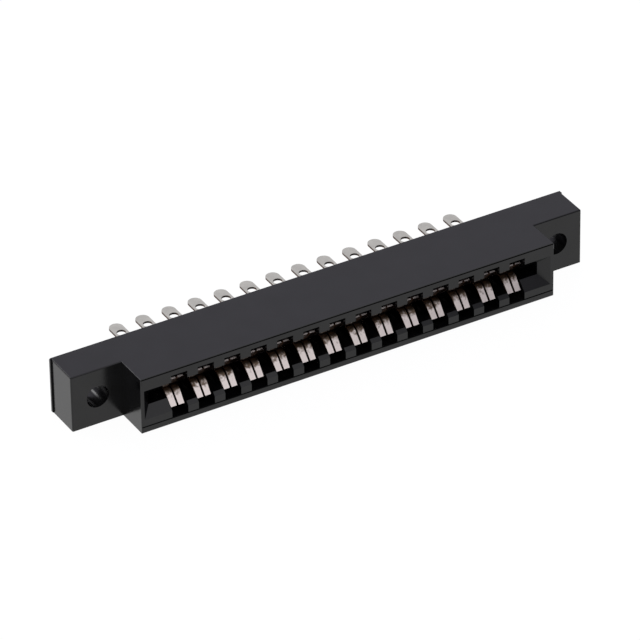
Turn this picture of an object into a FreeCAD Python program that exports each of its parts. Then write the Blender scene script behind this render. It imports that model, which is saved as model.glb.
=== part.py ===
"""Card edge connector: one moulded housing, two rows of springs and one row of solder eyelets.

Frame, in millimetres: X runs along the connector with 0 at its middle, Y = 0 is the front
face of the two mounting ears, the card goes in towards +Y, and Z = 0 is the underside.
"""
import FreeCAD, Part
import math
import os

import Sketcher

V = FreeCAD.Vector
doc = FreeCAD.newDocument("card_edge_connector")

# Driving dimensions: name, value, what it is
SIZES = [
    ("positions", 14, "contact positions in each row"),
    ("pitch", 3.9624, "contact spacing, 0.156 inch"),
    ("housing_height", 8.4, "underside to top"),
    ("nose_reach", 5.15, "nose ahead of the mounting ears"),
    ("ear_depth", 5.22, "front of the ears to the mould's parting step"),
    ("band_depth", 0.48, "rear band behind the parting step"),
    ("band_overhang", 0.2, "rear band past the end of each ear"),
    ("ear_length", 7.5, "ear past the end of the nose"),
    ("ear_hole_diameter", 3.25, "clearance hole in each ear, 0.128 inch"),
    ("ear_hole_inset", 3.86, "ear hole centre from the end of the ear"),
    ("end_wall", 1.8, "nose wall past each end of the card slot"),
    ("slot_end_room", 3.95, "card slot past the centre of the last position"),
    ("card_slot_height", 1.85, "slot for a 1.57 mm board"),
    ("card_slot_depth", 7.6, "nose front to the bottom of the slot"),
    ("lead_in", 1.3, "45 degree lead-in round the mouth of the slot"),
    ("rib_gap", 3.5, "between the upper and the lower ribs that part the positions"),
    ("rim_height", 0.87, "proud rim along the upper and lower edge of the nose"),
    ("rim_step", 0.12, "rim ahead of the face between the rims"),
    ("rabbet_height", 0.2, "rabbet on the upper front edge, top to bottom"),
    ("rabbet_depth", 0.12, "rabbet on the upper front edge, front to back"),
    ("edge_radius", 0.2, "rounding of the outer edges"),
    ("band_chamfer", 0.17, "chamfer on the outer edges of the rear band"),
    ("cavity_height", 6.5, "contact cavity, floor to ceiling"),
    ("side_clearance", 0.14, "contact to the cavity's side"),
    ("rear_wall", 2.4, "wall behind the cavities"),
    ("strip_thickness", 0.3, "spring strip"),
    ("contact_width", 2.12, "spring strip, across both prongs"),
    ("prong_gap", 0.3, "slit between the two prongs"),
    ("tip_narrowing", 0.07, "each prong is this much narrower at its tip"),
    ("tip_taper", 1.25, "length of the narrowing"),
    ("tip_setback", 0.9, "prong tip behind the nose front"),
    ("tip_offset", 2.21, "prong tip from the middle plane"),
    ("crest_setback", 3.23, "corner of the crest behind the nose front"),
    ("crest_overshoot", 0.37, "corner of the crest past the middle plane"),
    ("crest_radius", 1.48, "bend of the crest, to the middle of the strip"),
    ("belly_forward", 2.6, "corner of the belly ahead of the rear wall"),
    ("belly_offset", 2.17, "corner of the belly from the middle plane"),
    ("belly_radius", 0.8, "bend of the belly, to the middle of the strip"),
    ("root_forward", 0.55, "corner of the root ahead of the rear wall"),
    ("root_radius", 0.5, "bend of the root, to the middle of the strip"),
    ("slit_root_gap", 3.6, "end of the slit ahead of the rear wall"),
    ("clamp_offset", 0.34, "where the two strips lie on each other, above the middle plane"),
    ("shoulder_width", 0.08, "shoulder at each side of the tail"),
    ("shoulder_setback", 1.2, "shoulders ahead of the rear face"),
    ("tail_reach", 7.45, "solder tail behind the housing"),
    ("eyelet_diameter", 1.28, "wire hole in the tail"),
    ("eyelet_setback", 2.35, "wire hole centre ahead of the tail's end"),
    ("trim_margin", 1.0, "blank round the strip that the outline cut takes away"),
]

sheet = doc.addObject("Spreadsheet::Sheet", "Sizes")
for line, (name, number, meaning) in enumerate(SIZES, start=1):
    sheet.set(f"A{line}", name)
    sheet.set(f"B{line}", str(number))
    sheet.set(f"C{line}", meaning)
    sheet.setAlias(f"B{line}", name)
doc.recompute()


class Size:
    """A length that knows its number and its formula in the cells of the sheet."""

    def __init__(self, number, formula):
        self.number = number
        self.formula = formula

    @staticmethod
    def of(other):
        return other if isinstance(other, Size) else Size(float(other), repr(other))

    def __add__(self, other):
        other = Size.of(other)
        return Size(self.number + other.number, f"({self.formula} + {other.formula})")

    def __sub__(self, other):
        other = Size.of(other)
        return Size(self.number - other.number, f"({self.formula} - {other.formula})")

    def __mul__(self, other):
        other = Size.of(other)
        return Size(self.number * other.number, f"({self.formula} * {other.formula})")

    def __truediv__(self, other):
        other = Size.of(other)
        return Size(self.number / other.number, f"({self.formula} / {other.formula})")

    def __neg__(self):
        return self * -1


def size(name):
    """One driving dimension of the sheet."""
    return Size(float(sheet.get(name)), f"Sizes.{name}")


ZERO = Size(0.0, "0")
TOLERANCE = 1e-4

# Lengths that follow from the driving dimensions
middle = size("housing_height") / 2
depth = size("ear_depth") + size("band_depth")
row_length = (size("positions") - 1) * size("pitch")
slot_half = row_length / 2 + size("slot_end_room")
nose_half = slot_half + size("end_wall")
ear_half = nose_half + size("ear_length")
band_half = ear_half + size("band_overhang")
hole_centre = ear_half - size("ear_hole_inset")
cavity_width = size("contact_width") + size("side_clearance") * 2
cavity_rear = depth - size("rear_wall")
shoulder_y = depth - size("shoulder_setback")
tail_width = size("contact_width") - size("shoulder_width") * 2
tail_end = depth + size("tail_reach")
tip_y = size("tip_setback") - size("nose_reach")
clamp_level = middle + size("clamp_offset")


def bind(item, prop, length):
    """Tie one property to the sheet."""
    item.setExpression(prop, length.formula)


def new_body(label):
    body = doc.addObject("PartDesign::Body", label)
    body.Label = label
    return body


def new_sketch(body, name, plane, lift=None):
    """Sketch on one of the body's origin planes, lifted along the plane's normal."""
    sketch = body.newObject("Sketcher::SketchObject", name)
    support = next(item for item in body.Origin.OriginFeatures if item.Role == plane)
    sketch.AttachmentSupport = (support, [""])
    sketch.MapMode = "FlatFace"
    if lift is not None:
        bind(sketch, "AttachmentOffset.Base.z", lift)
    return sketch


def pin_point(sketch, geometry, end, across, up):
    """Hold a point of a sketch at a place that follows the sheet."""
    for kind, length in (("DistanceX", across), ("DistanceY", up)):
        index = sketch.addConstraint(Sketcher.Constraint(kind, -1, 1, geometry, end, length.number))
        sketch.setExpression(f"Constraints[{index}]", length.formula)


def draw_outline(sketch, corners, half_rounds=()):
    """Closed outline through the corners. The sides in half_rounds bulge upwards as half circles."""
    count = len(corners)
    points = [V(across.number, up.number, 0) for across, up in corners]
    ends = []
    first = sketch.GeometryCount
    for side in range(count):
        start, finish = points[side], points[(side + 1) % count]
        if side in half_rounds:
            circle = Part.Circle((start + finish) / 2, V(0, 0, 1), (finish - start).Length / 2)
            sketch.addGeometry(Part.ArcOfCircle(circle, 0, math.pi))
            ends.append((1, 2) if start.x > finish.x else (2, 1))
        else:
            sketch.addGeometry(Part.LineSegment(start, finish))
            ends.append((1, 2))
    for side in range(count):
        following = (side + 1) % count
        kind = "Tangent" if following in half_rounds else "Coincident"
        joint = (first + side, ends[side][1], first + following, ends[following][0])
        sketch.addConstraint(Sketcher.Constraint(kind, *joint))
    for side, (across, up) in enumerate(corners):
        pin_point(sketch, first + side, ends[side][0], across, up)


def rectangle(sketch, width, low, high, centre=ZERO):
    """Rectangle of a width about its centre, between two heights."""
    left, right = centre - width / 2, centre + width / 2
    draw_outline(sketch, [(left, low), (right, low), (right, high), (left, high)])


def circle(sketch, across, up, diameter):
    radius = diameter / 2
    shape = Part.Circle(V(across.number, up.number, 0), V(0, 0, 1), radius.number)
    index = sketch.addGeometry(shape)
    pin_point(sketch, index, 3, across, up)
    hold = sketch.addConstraint(Sketcher.Constraint("Radius", index, radius.number))
    sketch.setExpression(f"Constraints[{hold}]", radius.formula)


def cut(body, name, sketch, length, reverse=False):
    """Pocket of a given depth, checked to have taken material away."""
    before = body.Tip.Shape.Volume
    pocket = body.newObject("PartDesign::Pocket", name)
    pocket.Profile = sketch
    pocket.Reversed = reverse
    bind(pocket, "Length", length)
    doc.recompute()
    if pocket.Shape.Volume >= before:
        raise RuntimeError(f"{name} cuts nothing")
    return pocket


def edges_where(shape, test):
    """Names of the edges whose bounding box passes a test."""
    return [f"Edge{n}" for n, edge in enumerate(shape.Edges, start=1) if test(edge.BoundBox)]


def near(value, length):
    return abs(value - length.number) < TOLERANCE


def lies_at(low, high, length):
    """Whether a box is flat and lies at one level of its axis."""
    return near(low, length) and near(high, length)


def dress(body, kind, name, test, prop, length):
    """Fillet or chamfer on the edges that pass a test."""
    base = body.Tip
    feature = body.newObject(kind, name)
    feature.Base = (base, edges_where(base.Shape, test))
    bind(feature, prop, length)
    doc.recompute()
    return feature


def build_housing():
    """The moulded housing: nose with the card slot, two ears, and a row of contact cavities."""
    body = new_body("housing")
    height = size("housing_height")
    front = -size("nose_reach")
    face = front + size("rim_step")

    plan = new_sketch(body, "plan", "XY_Plane")
    right = [
        (nose_half, front),
        (nose_half, ZERO),
        (ear_half, ZERO),
        (ear_half, size("ear_depth")),
        (band_half, size("ear_depth")),
        (band_half, depth),
    ]
    left = [(-across, along) for across, along in reversed(right)]
    draw_outline(plan, right + left)
    block = body.newObject("PartDesign::Pad", "block")
    block.Profile = plan
    bind(block, "Length", height)
    doc.recompute()

    def is_band_edge(box):
        return near(box.YMax, depth)

    dress(body, "PartDesign::Chamfer", "band_chamfers", is_band_edge, "Size", size("band_chamfer"))

    def is_outer_edge(box):
        level = box.ZLength < TOLERANCE
        ahead_of_band = box.YMax < size("ear_depth").number + TOLERANCE
        at_ear_front = lies_at(box.YMin, box.YMax, ZERO)
        at_nose_front = lies_at(box.YMin, box.YMax, front)
        inner_corner = at_ear_front and not level and near(abs(box.XMin), nose_half)
        outer_corner = not level and (at_nose_front or at_ear_front and not inner_corner)
        on_top = near(box.ZMin, height)
        upper_flank = on_top and ahead_of_band and box.XLength < TOLERANCE
        lower_front = at_nose_front and near(box.ZMax, ZERO)
        return outer_corner or upper_flank or on_top and at_ear_front or lower_front

    dress(body, "PartDesign::Fillet", "rounded_edges", is_outer_edge, "Radius", size("edge_radius"))

    rim = new_sketch(body, "face_between_rims", "XZ_Plane", size("nose_reach"))
    rectangle(rim, nose_half * 2, size("rim_height"), height - size("rim_height"))
    cut(body, "rim_recess", rim, size("rim_step"))

    rabbet = new_sketch(body, "upper_front_rabbet", "XZ_Plane", size("nose_reach"))
    rectangle(rabbet, nose_half * 2, height - size("rabbet_height"), height)
    cut(body, "rabbet", rabbet, size("rabbet_depth"))

    slot = new_sketch(body, "card_slot_outline", "XZ_Plane", size("nose_reach"))
    slot_low = middle - size("card_slot_height") / 2
    slot_high = middle + size("card_slot_height") / 2
    rectangle(slot, slot_half * 2, slot_low, slot_high)
    cut(body, "card_slot", slot, size("card_slot_depth"))

    def is_mouth_edge(box):
        at_face = lies_at(box.YMin, box.YMax, face)
        inside = abs(box.ZMax - middle.number) < size("card_slot_height").number
        return at_face and inside and abs(box.XMax) < slot_half.number + TOLERANCE

    dress(body, "PartDesign::Chamfer", "mouth_lead_in", is_mouth_edge, "Size", size("lead_in"))

    ribs = new_sketch(body, "rib_gap_outline", "XZ_Plane", size("nose_reach"))
    half = size("rib_gap") / 2
    rectangle(ribs, row_length + cavity_width, middle - half, middle + half)
    cut(body, "rib_relief", ribs, size("card_slot_depth"))

    ears = new_sketch(body, "ear_hole_centres", "XZ_Plane", ZERO)
    circle(ears, hole_centre, middle, size("ear_hole_diameter"))
    circle(ears, -hole_centre, middle, size("ear_hole_diameter"))
    cut(body, "ear_holes", ears, depth)

    first = -row_length / 2
    cavity = new_sketch(body, "cavity_outline", "XZ_Plane", size("nose_reach"))
    half = size("cavity_height") / 2
    rectangle(cavity, cavity_width, middle - half, middle + half, first)
    pockets = [cut(body, "contact_cavity", cavity, size("nose_reach") + cavity_rear)]

    thick = size("strip_thickness")
    seat = new_sketch(body, "seat_outline", "XZ_Plane", -cavity_rear)
    rectangle(seat, size("contact_width"), clamp_level - thick, clamp_level + thick, first)
    pockets.append(cut(body, "seat", seat, shoulder_y - cavity_rear))
    passage = new_sketch(body, "tail_exit_outline", "XZ_Plane", -shoulder_y)
    rectangle(passage, tail_width, clamp_level, clamp_level + thick, first)
    pockets.append(cut(body, "tail_exit", passage, depth - shoulder_y))

    row = body.newObject("PartDesign::LinearPattern", "contact_row")
    row.Originals = pockets
    row.Direction = (cavity, ["H_Axis"])
    bind(row, "Length", row_length)
    bind(row, "Occurrences", size("positions"))
    body.Tip = row
    doc.recompute()
    return body


def draw_bent_path(sketch, corners, radii):
    """Open path through the corners, each inner corner rounded by its own tangent arc."""
    points = [V(across.number, up.number, 0) for across, up in corners]
    starts, finishes = list(points[:-1]), list(points[1:])
    bends = []
    for turn, radius in enumerate(radii):
        corner = points[turn + 1]
        before = (corner - points[turn]).normalize()
        after = (points[turn + 2] - corner).normalize()
        angle = before.getAngle(after)
        reach = radius.number * math.tan(angle / 2)
        finishes[turn] = corner - before * reach
        starts[turn + 1] = corner + after * reach
        inward = (after - before).normalize()
        centre = corner + inward * (radius.number / math.cos(angle / 2))
        turns_left = before.cross(after).z > 0
        begin = (finishes[turn] if turns_left else starts[turn + 1]) - centre
        heading = math.atan2(begin.y, begin.x)
        round_line = Part.Circle(centre, V(0, 0, 1), radius.number)
        bends.append((Part.ArcOfCircle(round_line, heading, heading + angle), turns_left))
    lines = []
    arcs = []
    for turn, start in enumerate(starts):
        lines.append(sketch.addGeometry(Part.LineSegment(start, finishes[turn])))
        if turn < len(bends):
            arcs.append(sketch.addGeometry(bends[turn][0]))
    for turn, radius in enumerate(radii):
        arc = arcs[turn]
        near_end, far_end = (1, 2) if bends[turn][1] else (2, 1)
        sketch.addConstraint(Sketcher.Constraint("Tangent", lines[turn], 2, arc, near_end))
        sketch.addConstraint(Sketcher.Constraint("Tangent", arc, far_end, lines[turn + 1], 1))
        hold = sketch.addConstraint(Sketcher.Constraint("Radius", arc, radius.number))
        sketch.setExpression(f"Constraints[{hold}]", radius.formula)
        apex = sketch.addGeometry(Part.Point(points[turn + 1]), True)
        for line in (lines[turn], lines[turn + 1]):
            sketch.addConstraint(Sketcher.Constraint("PointOnObject", apex, 1, line))
        pin_point(sketch, apex, 1, *corners[turn + 1])
    pin_point(sketch, lines[0], 1, *corners[0])
    pin_point(sketch, lines[-1], 2, *corners[-1])


def build_contact(label, side, place):
    """One spring contact. side is 1 in the upper row, whose strips run on as solder tails,
    and -1 in the lower row, whose strips end in the rear wall under the upper ones."""
    body = new_body(label)
    has_tail = side > 0
    half_strip = size("strip_thickness") / 2
    level = clamp_level + half_strip * side
    base_end = tail_end if has_tail else shoulder_y

    path = new_sketch(body, f"{label}_path", "YZ_Plane")
    corners = [
        (base_end, level),
        (cavity_rear - size("root_forward"), level),
        (cavity_rear - size("belly_forward"), middle + size("belly_offset") * side),
        (size("crest_setback") - size("nose_reach"), middle - size("crest_overshoot") * side),
        (tip_y, middle + size("tip_offset") * side),
    ]
    draw_bent_path(path, corners, [size("root_radius"), size("belly_radius"), size("crest_radius")])

    section = new_sketch(body, f"{label}_section", "XZ_Plane", -base_end)
    rectangle(section, size("contact_width"), level - half_strip, level + half_strip)

    strip = body.newObject("PartDesign::AdditivePipe", f"{label}_strip")
    strip.Profile = section
    strip.Spine = (path, [f"Edge{n + 1}" for n in range(7)])
    doc.recompute()

    outline = new_sketch(body, f"{label}_outline", "XY_Plane")
    margin = size("trim_margin")
    blank = size("contact_width") + margin * 2
    rectangle(outline, blank, tip_y - margin, tail_end + margin)
    half_gap = size("prong_gap") / 2
    half_width = size("contact_width") / 2
    half_tail = tail_width / 2
    right = [
        (half_gap, tip_y - margin / 2),
        (half_width - size("tip_narrowing"), tip_y - margin / 2),
        (half_width - size("tip_narrowing"), tip_y),
        (half_width, tip_y + size("tip_taper")),
    ]
    if has_tail:
        right += [
            (half_width, shoulder_y),
            (half_tail, shoulder_y),
            (half_tail, tail_end - half_tail),
        ]
        circle(outline, ZERO, tail_end - size("eyelet_setback"), size("eyelet_diameter"))
    else:
        right.append((half_width, shoulder_y + margin / 2))
    left = [(-across, along) for across, along in reversed(right)]
    slit_end = cavity_rear - size("slit_root_gap")
    slit = [(-half_gap, slit_end), (half_gap, slit_end)]
    tail_arc = (len(right) - 1,) if has_tail else ()
    draw_outline(outline, right + left + slit, half_rounds=tail_arc)
    cut(body, f"{label}_trim", outline, size("housing_height"), reverse=True)

    body.setExpression("Placement.Base.x", place.formula)
    return body


pieces = [build_housing()]
for row_name, side in (("upper", 1), ("lower", -1)):
    for number in range(int(size("positions").number)):
        place = size("pitch") * number - row_length / 2
        pieces.append(build_contact(f"contact_{row_name}_{number + 1:02d}", side, place))
doc.recompute()

for item in doc.Objects:
    if {"Invalid", "Error"} & set(item.State):
        raise RuntimeError(f"{item.Label} failed: {item.State}")
for piece in pieces:
    if piece.Shape.isNull() or not piece.Shape.isValid() or len(piece.Shape.Solids) != 1:
        raise RuntimeError(f"{piece.Label} is not one valid solid")

os.makedirs("parts", exist_ok=True)
for piece in pieces:
    piece.Shape.exportStep(f"parts/{piece.Label}.step")
print(len(pieces), "pieces written")
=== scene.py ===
"""Looks of the card edge connector: black moulding, plated contacts, and a pale studio."""

import math

import bpy
from mathutils import Matrix, Vector


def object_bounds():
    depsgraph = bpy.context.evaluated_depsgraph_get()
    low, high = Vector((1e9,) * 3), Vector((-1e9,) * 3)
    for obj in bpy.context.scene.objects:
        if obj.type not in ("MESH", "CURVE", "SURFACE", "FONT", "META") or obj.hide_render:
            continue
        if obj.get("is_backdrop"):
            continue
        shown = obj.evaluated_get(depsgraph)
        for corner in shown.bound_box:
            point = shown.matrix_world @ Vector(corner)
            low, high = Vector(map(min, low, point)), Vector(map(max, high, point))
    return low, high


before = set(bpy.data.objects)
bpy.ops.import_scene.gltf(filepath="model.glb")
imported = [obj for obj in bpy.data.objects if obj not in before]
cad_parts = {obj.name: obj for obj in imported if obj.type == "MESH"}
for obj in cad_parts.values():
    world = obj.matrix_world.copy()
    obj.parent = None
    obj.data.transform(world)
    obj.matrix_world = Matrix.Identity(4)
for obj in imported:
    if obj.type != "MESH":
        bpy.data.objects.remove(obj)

bl_info = {
    "name": "Card edge connector studio",
    "version": (1, 0, 0),
    "blender": (4, 5, 0),
    "location": "3D View > Sidebar > Connector",
    "description": "Finishes a packed card edge connector and sets up its studio",
    "category": "Object",
}

MM = 0.001
CAD_LOW, CAD_HIGH = (Vector(corner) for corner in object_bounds())
MIDDLE_PLANE = (CAD_LOW.z + CAD_HIGH.z) / 2

# Moulding compound: how far its sheen varies, and how its clouds shade its colour
COMPOUND_IOR = 1.41
COMPOUND_SMOOTHER = 0.03
COMPOUND_ROUGHER = 0.04
CLOUDS_IN_PATCH = 3
CLOUD_SHADES = (0.3, 1.9)
GRAIN_STRENGTH = 0.2
GRAIN_DEPTH = 0.01 * MM

# Plating: its mottling, how far its sheen varies, and the bare edges
MOTTLE_WIDTH = 1.2 * MM
MOTTLE_SHADES = (0.8, 1.0)
MOTTLE_STRENGTH = 0.25
MOTTLE_DEPTH = 0.02 * MM
PLATING_SMOOTHER = 0.05
PLATING_ROUGHER = 0.07
SHEARED_METALLIC = 0.25
SHEARED_ROUGHNESS = 0.5

# Painted light and shade on the contacts: places along Y, and heights over or under the middle plane
CREST_END = 2 * MM
TAIL_START = 5 * MM
SHADE_FULL_HEIGHT = 1.6 * MM
SHADE_END_HEIGHT = 2.15 * MM
TIP_SHADE_TOP = 2.17 * MM
SHADE_EDGE_WIDTH = 0.5 * MM
SHADE_EDGE_REACH = 2 * MM

# Floor, an opal sheet just under the connector
FLOOR_SIZE = 6.0
FLOOR_GAP = 0.02 * MM
OPAL_COLOUR = "#c4c4c4"
OPAL_ROUGHNESS = 0.25
OPAL_IOR = 1.6
OPAL_GLOW = 0.42
WHITE = (1, 1, 1, 1)
WHITE_STRENGTH = 1.03
WHITE_SHARE = 0.9

# Tent of light: its strength is a direction's product with TENT_LEAN, plus TENT_OFFSET
TENT_TINT = (1.0, 0.98, 1.1, 1.0)
TENT_LEAN = (0, 0.4, 0.95)
TENT_OFFSET = -0.06
TENT_DIMMEST = 0.2

# Lights: places and sizes in metres, powers in watts
LIGHTS = {
    "back_strip": {
        "place": (-0.094, 0.105, 0.081),
        "aim": (-0.036, 0, 0.004),
        "along": (0, 1, 0),
        "size": (0.026, 0.055),
        "power": 0.0245,
    },
    "front_panel": {
        "place": (0.005, -0.125, 0.14),
        "aim": (-0.02, 0, 0),
        "along": (0, 0, 1),
        "size": (0.17, 0.15),
        "power": 0.054,
    },
}

# Camera: its sensor in millimetres, and the range it sees in metres
SENSOR_WIDTH = 36.0
NEAREST = 0.01
FARTHEST = 20.0

# Texture noise keeps mostly to this range
NOISE_LOW = 0.3
NOISE_HIGH = 0.7

# A face looks along an axis where that part of its normal is over this limit
LOOKING = 0.5

# Places of a Mix node's factor, its two inputs and its result
MIX_PLACES = {"FLOAT": (0, 2, 3, 0), "RGBA": (0, 6, 7, 2)}


def linear(hex_colour):
    """Linear red, green, blue and alpha of an sRGB hex colour, by the sRGB standard's curve."""
    channels = [int(hex_colour[place:place + 2], 16) / 255 for place in (1, 3, 5)]
    return [c / 12.92 if c <= 0.04045 else ((c + 0.055) / 1.055) ** 2.4 for c in channels] + [1.0]


def srgb_default(hex_colour):
    """Default of a colour property, which has no alpha."""
    return linear(hex_colour)[:3]


def opaque(colour):
    """Red, green, blue and alpha of a colour property."""
    return [*colour, 1.0]


class MouldingSettings(bpy.types.PropertyGroup):
    """Looks of the housing"""
    colour: bpy.props.FloatVectorProperty(
        name="Plastic colour", description="Body colour of the black moulding compound",
        subtype="COLOR", size=3, min=0, max=1, default=srgb_default("#070708"))
    roughness: bpy.props.FloatProperty(
        name="Roughness", description="Sheen of the spark-eroded mould surface",
        subtype="FACTOR", min=0, max=1, default=0.17)
    patches: bpy.props.FloatProperty(
        name="Patches", description="Width of the patches where the sheen changes a little",
        subtype="DISTANCE", unit="LENGTH", min=0.0001, default=9 * MM)
    grain: bpy.props.FloatProperty(
        name="Grain", description="Width of the mould's surface grain",
        subtype="DISTANCE", unit="LENGTH", min=0.00001, default=0.14 * MM)


class ContactSettings(bpy.types.PropertyGroup):
    """Looks of the contacts"""
    colour: bpy.props.FloatVectorProperty(
        name="Plating colour", description="Colour of the tin plating on the tails",
        subtype="COLOR", size=3, min=0, max=1, default=srgb_default("#d6d5c8"))
    # Painted light: the springs' colour is lighter than the tails' plating, standing in for light on the
    # springs; its warmer tone is their own
    spring_tone_and_light: bpy.props.FloatVectorProperty(
        name="Rubbed colour", description="Warmer colour of the springs, where the tin is rubbed thin",
        subtype="COLOR", size=3, min=0, max=1, default=srgb_default("#f4e9e3"))
    # Painted shade: this brown darkens the crests where they lie in shade
    crest_shade: bpy.props.FloatVectorProperty(
        name="Worn colour", description="Brown of the crests, where the tin is thin over the bronze",
        subtype="COLOR", size=3, min=0, max=1, default=srgb_default("#66574a"))
    sheared: bpy.props.FloatVectorProperty(
        name="Sheared colour", description="Dull brown of the edges that the shear left bare",
        subtype="COLOR", size=3, min=0, max=1, default=srgb_default("#553d2e"))
    # Painted shade: this dark brown stands in for the shade on the upper springs' forward faces, below the
    # edge of their tips
    upper_tip_shade: bpy.props.FloatVectorProperty(
        name="Tarnish colour", description="Dark brown of the upper springs' tips, under a burnished edge",
        subtype="COLOR", size=3, min=0, max=1, default=srgb_default("#2a1e17"))
    roughness: bpy.props.FloatProperty(
        name="Roughness", description="Sheen of the plated strip",
        subtype="FACTOR", min=0, max=1, default=0.33)


class StudioSettings(bpy.types.PropertyGroup):
    """Place and lens of the camera"""
    azimuth: bpy.props.FloatProperty(
        name="Azimuth", description="Camera's turn from straight ahead, to the left when negative",
        subtype="ANGLE", unit="ROTATION", default=math.radians(-29.708))
    elevation: bpy.props.FloatProperty(
        name="Elevation", description="Camera's height angle",
        subtype="ANGLE", unit="ROTATION", default=math.radians(33.45))
    roll: bpy.props.FloatProperty(
        name="Roll", description="Camera's turn about its own axis",
        subtype="ANGLE", unit="ROTATION", default=math.radians(-0.933))
    distance: bpy.props.FloatProperty(
        name="Distance", description="Camera to the point it looks at",
        subtype="DISTANCE", unit="LENGTH", default=783.749 * MM)
    lens: bpy.props.FloatProperty(
        name="Lens", description="Focal length in millimetres on a 36 mm sensor",
        min=1, default=333.67)
    target: bpy.props.FloatVectorProperty(
        name="Target", description="Point that the camera looks at",
        subtype="TRANSLATION", unit="LENGTH", size=3, default=(-1.753 * MM, 0, 4.626 * MM))


def fill(tree, node, **inputs):
    """Set or link a node's inputs by name, with _ for a space, or by place, as in slot2."""
    for name, value in inputs.items():
        if name.startswith("slot"):
            socket = node.inputs[int(name.removeprefix("slot"))]
        else:
            socket = node.inputs[name.replace("_", " ")]
        if isinstance(value, bpy.types.NodeSocket):
            tree.links.new(value, socket)
        else:
            socket.default_value = value


def add_node(tree, kind, settings=None, **inputs):
    """Add a node, set its properties, and set or link its inputs."""
    node = tree.nodes.new(kind)
    for name, value in (settings or {}).items():
        setattr(node, name, value)
    fill(tree, node, **inputs)
    return node


def calculate(tree, operation, *values):
    """Result of a Math node."""
    slots = {f"slot{place}": value for place, value in enumerate(values)}
    return add_node(tree, "ShaderNodeMath", {"operation": operation}, **slots).outputs[0]


def over(tree, value, limit):
    """1 where a value is over a limit, and 0 elsewhere."""
    return calculate(tree, "GREATER_THAN", value, limit)


def under(tree, value, limit):
    """1 where a value is under a limit, and 0 elsewhere."""
    return calculate(tree, "LESS_THAN", value, limit)


def both(tree, first, second):
    """1 where two masks are both 1."""
    return calculate(tree, "MULTIPLY", first, second)


def either(tree, first, second):
    """1 where one of two masks is 1, or both are."""
    return calculate(tree, "MAXIMUM", first, second)


def blend(tree, kind, share, first, second):
    """The first of two numbers or colours where the share is 0, and the second where it is 1."""
    factor_place, first_place, second_place, result_place = MIX_PLACES[kind]
    slots = {f"slot{factor_place}": share, f"slot{first_place}": first, f"slot{second_place}": second}
    return add_node(tree, "ShaderNodeMix", {"data_type": kind}, **slots).outputs[result_place]


def shaded(tree, colour, shade):
    """Colour times a shade."""
    return add_node(tree, "ShaderNodeVectorMath", {"operation": "SCALE"},
                    slot0=colour, Scale=shade).outputs[0]


def noise(tree, place, width, detail, roughness=0.5):
    """Noise whose largest patches are about as wide as stated."""
    return add_node(tree, "ShaderNodeTexNoise", Vector=place, Scale=1 / width,
                    Detail=detail, Roughness=roughness).outputs["Fac"]


def spread(tree, pattern, low, high):
    """Noise pattern, stretched to run from a low value to a high one."""
    return add_node(tree, "ShaderNodeMapRange", Value=pattern, From_Min=NOISE_LOW, From_Max=NOISE_HIGH,
                    To_Min=low, To_Max=high).outputs["Result"]


def bumps(tree, pattern, strength, depth):
    """Normal of a surface that rises and falls with a pattern."""
    return add_node(tree, "ShaderNodeBump", Height=pattern,
                    Strength=strength, Distance=depth).outputs["Normal"]


def object_place(tree):
    """Object coordinates, which the textures lie on."""
    return add_node(tree, "ShaderNodeTexCoord").outputs["Object"]


def separated(tree, vector):
    """Outputs X, Y and Z of a vector."""
    return add_node(tree, "ShaderNodeSeparateXYZ", Vector=vector).outputs


def facing(tree):
    """Outputs X, Y and Z of the face's own normal, in object space."""
    normal = add_node(tree, "ShaderNodeNewGeometry").outputs["True Normal"]
    local = add_node(tree, "ShaderNodeVectorTransform",
                     {"vector_type": "NORMAL", "convert_from": "WORLD", "convert_to": "OBJECT"},
                     Vector=normal)
    return separated(tree, local.outputs[0])


def new_material(name):
    """Material, its node tree and its principled shader."""
    material = bpy.data.materials.new(name)
    material.use_nodes = True
    tree = material.node_tree
    return material, tree, tree.nodes["Principled BSDF"]


def moulded_plastic(settings):
    """Glass-filled polyester, injection moulded: near black and semi-gloss.

    The eroded mould leaves a grain of about 0.14 mm. The sheen changes over some 9 mm, and the
    black is faintly clouded over 3 mm, as glass-filled compounds are.
    """
    material, tree, shader = new_material("moulded_black_polyester")
    place = object_place(tree)
    patches = noise(tree, place, settings.patches, detail=2)
    clouds = noise(tree, place, settings.patches / CLOUDS_IN_PATCH, detail=4)
    grain = noise(tree, place, settings.grain, detail=3, roughness=0.6)
    smoothest = settings.roughness - COMPOUND_SMOOTHER
    roughest = settings.roughness + COMPOUND_ROUGHER
    fill(tree, shader,
         Base_Color=shaded(tree, settings.colour, spread(tree, clouds, *CLOUD_SHADES)),
         Roughness=spread(tree, patches, smoothest, roughest),
         IOR=COMPOUND_IOR,
         Normal=bumps(tree, grain, GRAIN_STRENGTH, GRAIN_DEPTH))
    return material


def sheared_faces(tree, looks, where):
    """1 on the faces that the shear left and 0 on the rolled ones.

    On the springs those faces look along X, and on the flat tails they are all the upright ones.
    """
    sides = over(tree, calculate(tree, "ABSOLUTE", looks["X"]), LOOKING)
    upright = under(tree, calculate(tree, "ABSOLUTE", looks["Z"]), LOOKING)
    tails = both(tree, upright, over(tree, where["Y"], TAIL_START))
    return either(tree, sides, tails)


def upper_tip_shade_mask(tree, looks, height):
    """1 where painted shade darkens the upper springs: their faces that look forward, up to the tip's edge.
    """
    forward = under(tree, looks["Y"], -LOOKING)
    upper = over(tree, height, 0)
    return both(tree, both(tree, forward, upper), under(tree, height, TIP_SHADE_TOP))


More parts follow.
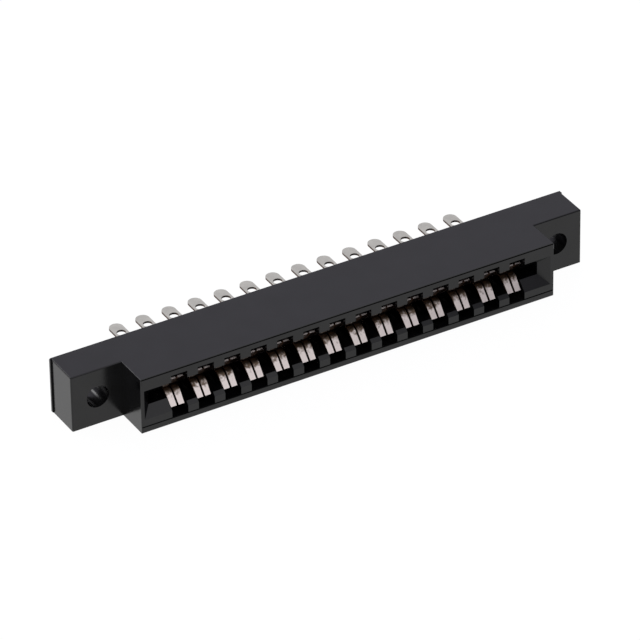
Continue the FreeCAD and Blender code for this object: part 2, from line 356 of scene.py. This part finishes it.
def crest_shade_mask(tree, place, where, height):
    """1 where painted shade darkens the crests: near the middle plane ahead of the rear wall, with a ragged
    edge.
    """
    shade_edge_noise = noise(tree, place, SHADE_EDGE_WIDTH, detail=3)
    ragged = calculate(tree, "MULTIPLY_ADD", shade_edge_noise, SHADE_EDGE_REACH, calculate(tree, "ABSOLUTE", height))
    near = add_node(tree, "ShaderNodeMapRange", Value=ragged,
                    From_Min=SHADE_FULL_HEIGHT, From_Max=SHADE_END_HEIGHT, To_Min=1, To_Max=0)
    return both(tree, near.outputs["Result"], under(tree, where["Y"], CREST_END))


def tin_plating(settings):
    """Tin over phosphor bronze strip, 0.3 mm thick: warm grey and satin.

    The plating is mottled over 1.2 mm and less, and missing on the sheared edges. The springs are
    painted lighter than the tails, as painted light. The crests are darkened brown by painted shade,
    and so are the upper springs' forward faces, up to the edge of their tips.
    """
    material, tree, shader = new_material("tin_plated_bronze")
    place = object_place(tree)
    where = separated(tree, place)
    looks = facing(tree)
    height = calculate(tree, "SUBTRACT", where["Z"], MIDDLE_PLANE)
    mottle = noise(tree, place, MOTTLE_WIDTH, detail=5, roughness=0.7)
    springs = under(tree, where["Y"], TAIL_START)
    crests = crest_shade_mask(tree, place, where, height)
    sheared = sheared_faces(tree, looks, where)
    tips = upper_tip_shade_mask(tree, looks, height)

    # Painted light: the springs get a lighter colour than the tails
    tin = blend(tree, "RGBA", springs, opaque(settings.colour), opaque(settings.spring_tone_and_light))
    plating = shaded(tree, tin, spread(tree, mottle, *MOTTLE_SHADES))
    # Painted shade: the crests are darkened brown
    crested = blend(tree, "RGBA", crests, plating, opaque(settings.crest_shade))
    edged = blend(tree, "RGBA", sheared, crested, opaque(settings.sheared))
    metallic = add_node(tree, "ShaderNodeMapRange", Value=sheared, To_Min=1, To_Max=SHEARED_METALLIC)
    smoothest = settings.roughness - PLATING_SMOOTHER
    roughest = settings.roughness + PLATING_ROUGHER
    sheen = spread(tree, mottle, smoothest, roughest)
    fill(tree, shader,
         # Painted shade: the upper springs' forward faces get the dark brown
         Base_Color=blend(tree, "RGBA", tips, edged, opaque(settings.upper_tip_shade)),
         Metallic=metallic.outputs["Result"],
         Roughness=blend(tree, "FLOAT", sheared, sheen, SHEARED_ROUGHNESS),
         Normal=bumps(tree, mottle, MOTTLE_STRENGTH, MOTTLE_DEPTH))
    return material


def dress_node(name, material):
    """Give a CAD node a finish of its own."""
    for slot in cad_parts[name].material_slots:
        slot.material = material


class CONNECTOR_OT_moulding(bpy.types.Operator):
    """Finish the moulded housing"""
    bl_idname = "connector.moulding"
    bl_label = "Moulded housing"

    def execute(self, context):
        dress_node("housing", moulded_plastic(context.scene.connector_moulding))
        return {"FINISHED"}


class CONNECTOR_OT_contacts(bpy.types.Operator):
    """Finish the spring contacts"""
    bl_idname = "connector.contacts"
    bl_label = "Spring contacts"

    def execute(self, context):
        material = tin_plating(context.scene.connector_contacts)
        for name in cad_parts:
            if name.startswith("contact_"):
                dress_node(name, material)
        return {"FINISHED"}


def floor_material():
    """Opal acrylic sheet, lit softly from below, with a faint shadow of the connector.

    It is nearly white to the camera and in the gloss of other things. Its underside is clear, so
    that the connector can be seen from below.
    """
    material, tree, sheet = new_material("opal_acrylic")
    fill(tree, sheet, Base_Color=linear(OPAL_COLOUR), Roughness=OPAL_ROUGHNESS, IOR=OPAL_IOR,
         Emission_Color=WHITE, Emission_Strength=OPAL_GLOW)
    white = add_node(tree, "ShaderNodeEmission", Color=WHITE, Strength=WHITE_STRENGTH)
    path = add_node(tree, "ShaderNodeLightPath").outputs
    mirrored = either(tree, path["Is Glossy Ray"], path["Is Transmission Ray"])
    seen = either(tree, path["Is Camera Ray"], mirrored)
    lift = calculate(tree, "MULTIPLY", seen, WHITE_SHARE)
    top = add_node(tree, "ShaderNodeMixShader", slot0=lift, slot1=sheet.outputs[0], slot2=white.outputs[0])
    clear = add_node(tree, "ShaderNodeBsdfTransparent")
    below = add_node(tree, "ShaderNodeNewGeometry").outputs["Backfacing"]
    whole = add_node(tree, "ShaderNodeMixShader", slot0=below, slot1=top.outputs[0], slot2=clear.outputs[0])
    fill(tree, tree.nodes["Material Output"], Surface=whole.outputs[0])
    return material


def surround():
    """White to the camera. To everything else, a tent that is brightest overhead and behind."""
    world = bpy.data.worlds.new("surround")
    world.use_nodes = True
    tree = world.node_tree
    direction = add_node(tree, "ShaderNodeTexCoord").outputs["Generated"]
    lean = add_node(tree, "ShaderNodeVectorMath", {"operation": "DOT_PRODUCT"},
                    slot0=direction, slot1=TENT_LEAN)
    tent = calculate(tree, "ADD", lean.outputs["Value"], TENT_OFFSET)
    bright = calculate(tree, "MAXIMUM", tent, TENT_DIMMEST)
    seen = add_node(tree, "ShaderNodeLightPath").outputs["Is Camera Ray"]
    fill(tree, tree.nodes["Background"],
         Color=blend(tree, "RGBA", seen, TENT_TINT, WHITE),
         Strength=blend(tree, "FLOAT", seen, bright, 1))
    return world


def stand(place, right, up, back):
    """World matrix of a lamp or camera that looks away from its back."""
    return Matrix.Translation(place) @ Matrix((right, up, back)).transposed().to_4x4()


def add_area(name, place, aim, along, size, power):
    """Rectangular light that faces a point, with the second of its sizes measured along a direction."""
    light = bpy.data.lights.new(name, "AREA")
    light.shape = "RECTANGLE"
    light.size, light.size_y = size
    light.energy = power
    lamp = bpy.data.objects.new(name, light)
    lamp.visible_camera = False
    bpy.context.scene.collection.objects.link(lamp)
    back = (Vector(place) - Vector(aim)).normalized()
    right = Vector(along).cross(back).normalized()
    lamp.matrix_world = stand(place, right, back.cross(right), back)


def add_camera(settings):
    """Camera that looks at its target from an azimuth, an elevation and a distance."""
    turn = settings.azimuth
    rise = settings.elevation
    roll = settings.roll
    back = Vector((math.sin(turn) * math.cos(rise), -math.cos(turn) * math.cos(rise), math.sin(rise)))
    level = Vector((math.cos(turn), math.sin(turn), 0))
    steep = back.cross(level)
    right = level * math.cos(roll) + steep * math.sin(roll)
    up = steep * math.cos(roll) - level * math.sin(roll)
    camera = bpy.data.objects.new("camera", bpy.data.cameras.new("camera"))
    bpy.context.scene.collection.objects.link(camera)
    camera.matrix_world = stand(Vector(settings.target) + back * settings.distance, right, up, back)
    camera.data.lens = settings.lens
    camera.data.sensor_width = SENSOR_WIDTH
    camera.data.clip_start = NEAREST
    camera.data.clip_end = FARTHEST
    return camera


class CONNECTOR_OT_studio(bpy.types.Operator):
    """Set up the pale floor, the soft lights, the white surround and the camera"""
    bl_idname = "connector.studio"
    bl_label = "Studio"

    def execute(self, context):
        bpy.ops.mesh.primitive_plane_add(size=FLOOR_SIZE, location=(0, 0, CAD_LOW.z - FLOOR_GAP))
        floor = context.object
        floor.name = "floor"
        floor.data.materials.append(floor_material())
        floor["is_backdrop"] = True

        scene = context.scene
        scene.world = surround()
        for name, light in LIGHTS.items():
            add_area(name, **light)
        scene.view_settings.view_transform = "Standard"
        scene.camera = add_camera(scene.connector_studio)
        return {"FINISHED"}


class CONNECTOR_PT_panel(bpy.types.Panel):
    """Sidebar panel with the connector's steps"""
    bl_idname = "CONNECTOR_PT_panel"
    bl_label = "Card edge connector"
    bl_space_type = "VIEW_3D"
    bl_region_type = "UI"
    bl_category = "Connector"

    def draw(self, context):
        for step in STEPS:
            self.layout.operator(step.bl_idname)


STEPS = (CONNECTOR_OT_moulding, CONNECTOR_OT_contacts, CONNECTOR_OT_studio)
SETTINGS = {
    "connector_moulding": MouldingSettings,
    "connector_contacts": ContactSettings,
    "connector_studio": StudioSettings,
}


def register():
    for item in (*SETTINGS.values(), *STEPS, CONNECTOR_PT_panel):
        bpy.utils.register_class(item)
    for name, group in SETTINGS.items():
        setattr(bpy.types.Scene, name, bpy.props.PointerProperty(type=group))


def unregister():
    for name in SETTINGS:
        delattr(bpy.types.Scene, name)
    for item in reversed((*SETTINGS.values(), *STEPS, CONNECTOR_PT_panel)):
        bpy.utils.unregister_class(item)


def main():
    register()
    bpy.ops.connector.moulding()
    bpy.ops.connector.contacts()
    bpy.ops.connector.studio()


if __name__ == "__main__":
    main()
